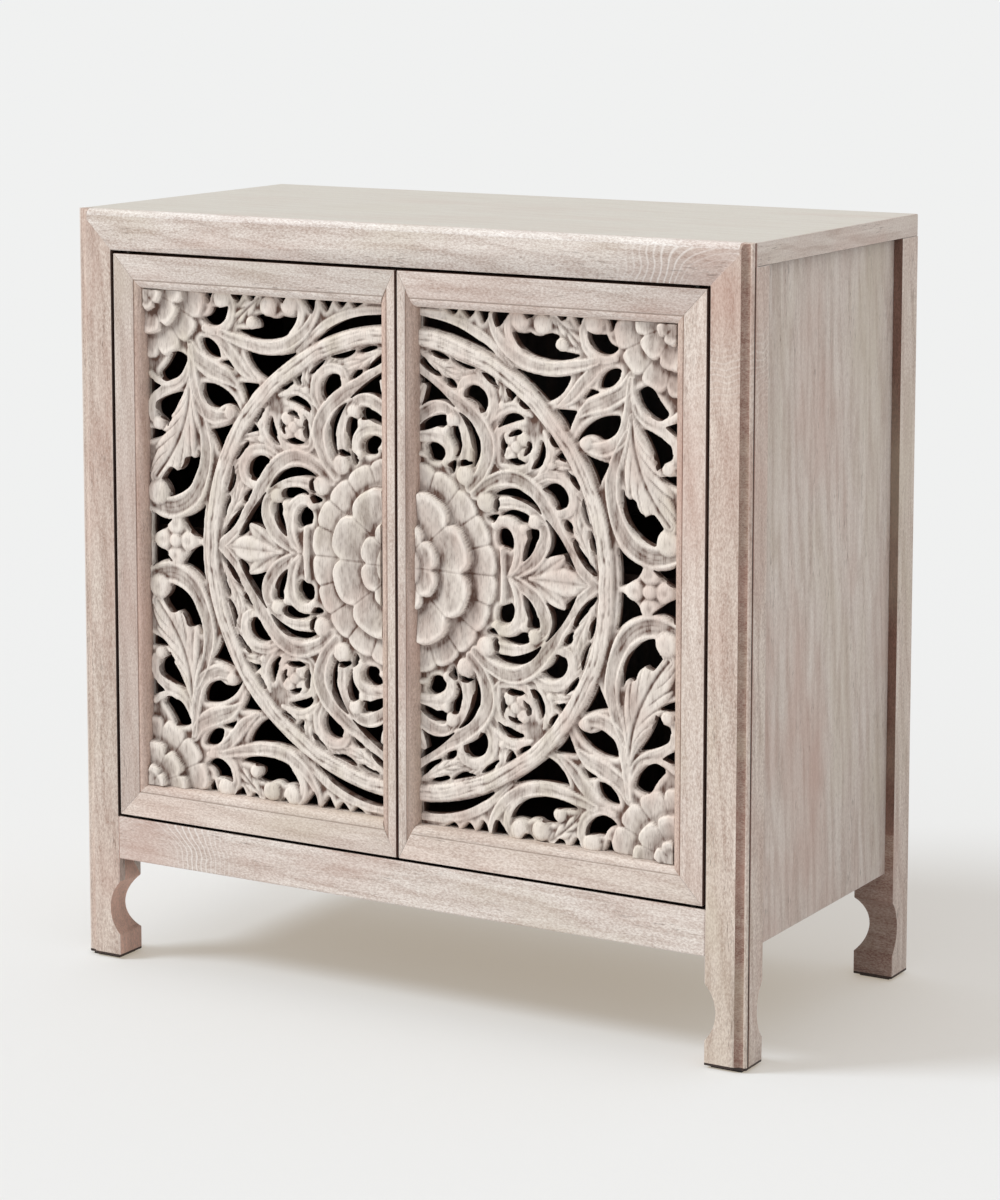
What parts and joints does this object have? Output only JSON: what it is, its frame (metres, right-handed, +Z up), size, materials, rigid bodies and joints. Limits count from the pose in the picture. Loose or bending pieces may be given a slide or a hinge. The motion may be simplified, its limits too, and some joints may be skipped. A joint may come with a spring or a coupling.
{
  "type": "storage cabinet",
  "caption": "Whitewashed wooden storage cabinet on short legs, with inset double doors that hold pierced, carved fretwork panels and a shelf inside.",
  "frame": {"origin": "on the floor under the middle of the cabinet", "axes": "+Z up, the doors face -Y, +X is to the right seen from the front"},
  "size_m": [0.9, 0.44, 0.92],
  "materials": {
    "whitewashed_wood": "limed open-grain whitewash, matt",
    "carved_wood": "carved and whitewashed, brown wash left in the recesses, matt",
    "stained_wood": "dark brown stain, matt",
    "steel": "plain turned or stamped",
    "brass": "plain turned",
    "black_plastic": "matt moulded"
  },
  "bodies": {
    "cabinet": {"back_bottom_rail": "whitewashed_wood", "back_left_post": "whitewashed_wood", "back_panel": "stained_wood", "back_right_post": "whitewashed_wood", "back_top_rail": "whitewashed_wood", "bottom_board": "stained_wood", "door_stop": "stained_wood", "foot_pads": "black_plastic", "front_bottom_rail": "whitewashed_wood", "front_left_post": "whitewashed_wood", "front_right_post": "whitewashed_wood", "front_top_rail": "whitewashed_wood", "left_bottom_cleat": "stained_wood", "left_shelf_cleat": "stained_wood", "left_side_panel": "whitewashed_wood", "magnetic_catches": "black_plastic", "pivot_pins": "steel", "right_bottom_cleat": "stained_wood", "right_shelf_cleat": "stained_wood", "right_side_panel": "whitewashed_wood", "shelf": "stained_wood", "top_board": "whitewashed_wood"},
    "left_door": {"left_door_bottom_rail": "whitewashed_wood", "left_door_carved_panel": "carved_wood", "left_door_hanging_stile": "whitewashed_wood", "left_door_meeting_stile": "whitewashed_wood", "left_door_panel_beads": "stained_wood", "left_door_pivot_bushes": "brass", "left_door_strike_plate": "steel", "left_door_top_rail": "whitewashed_wood"},
    "right_door": {"right_door_bottom_rail": "whitewashed_wood", "right_door_carved_panel": "carved_wood", "right_door_hanging_stile": "whitewashed_wood", "right_door_meeting_stile": "whitewashed_wood", "right_door_panel_beads": "stained_wood", "right_door_pivot_bushes": "brass", "right_door_strike_plate": "steel", "right_door_top_rail": "whitewashed_wood"}
  },
  "joints": [
    {"name": "left_door_hinge", "type": "hinge", "parent": "cabinet", "child": "left_door", "pos_m": [-0.3805, -0.21, 0], "axis": [0, 0, -1], "range_deg": [0, 110]},
    {"name": "right_door_hinge", "type": "hinge", "parent": "cabinet", "child": "right_door", "pos_m": [0.3805, -0.21, 0], "axis": [0, 0, 1], "range_deg": [0, 110]}
  ]
}
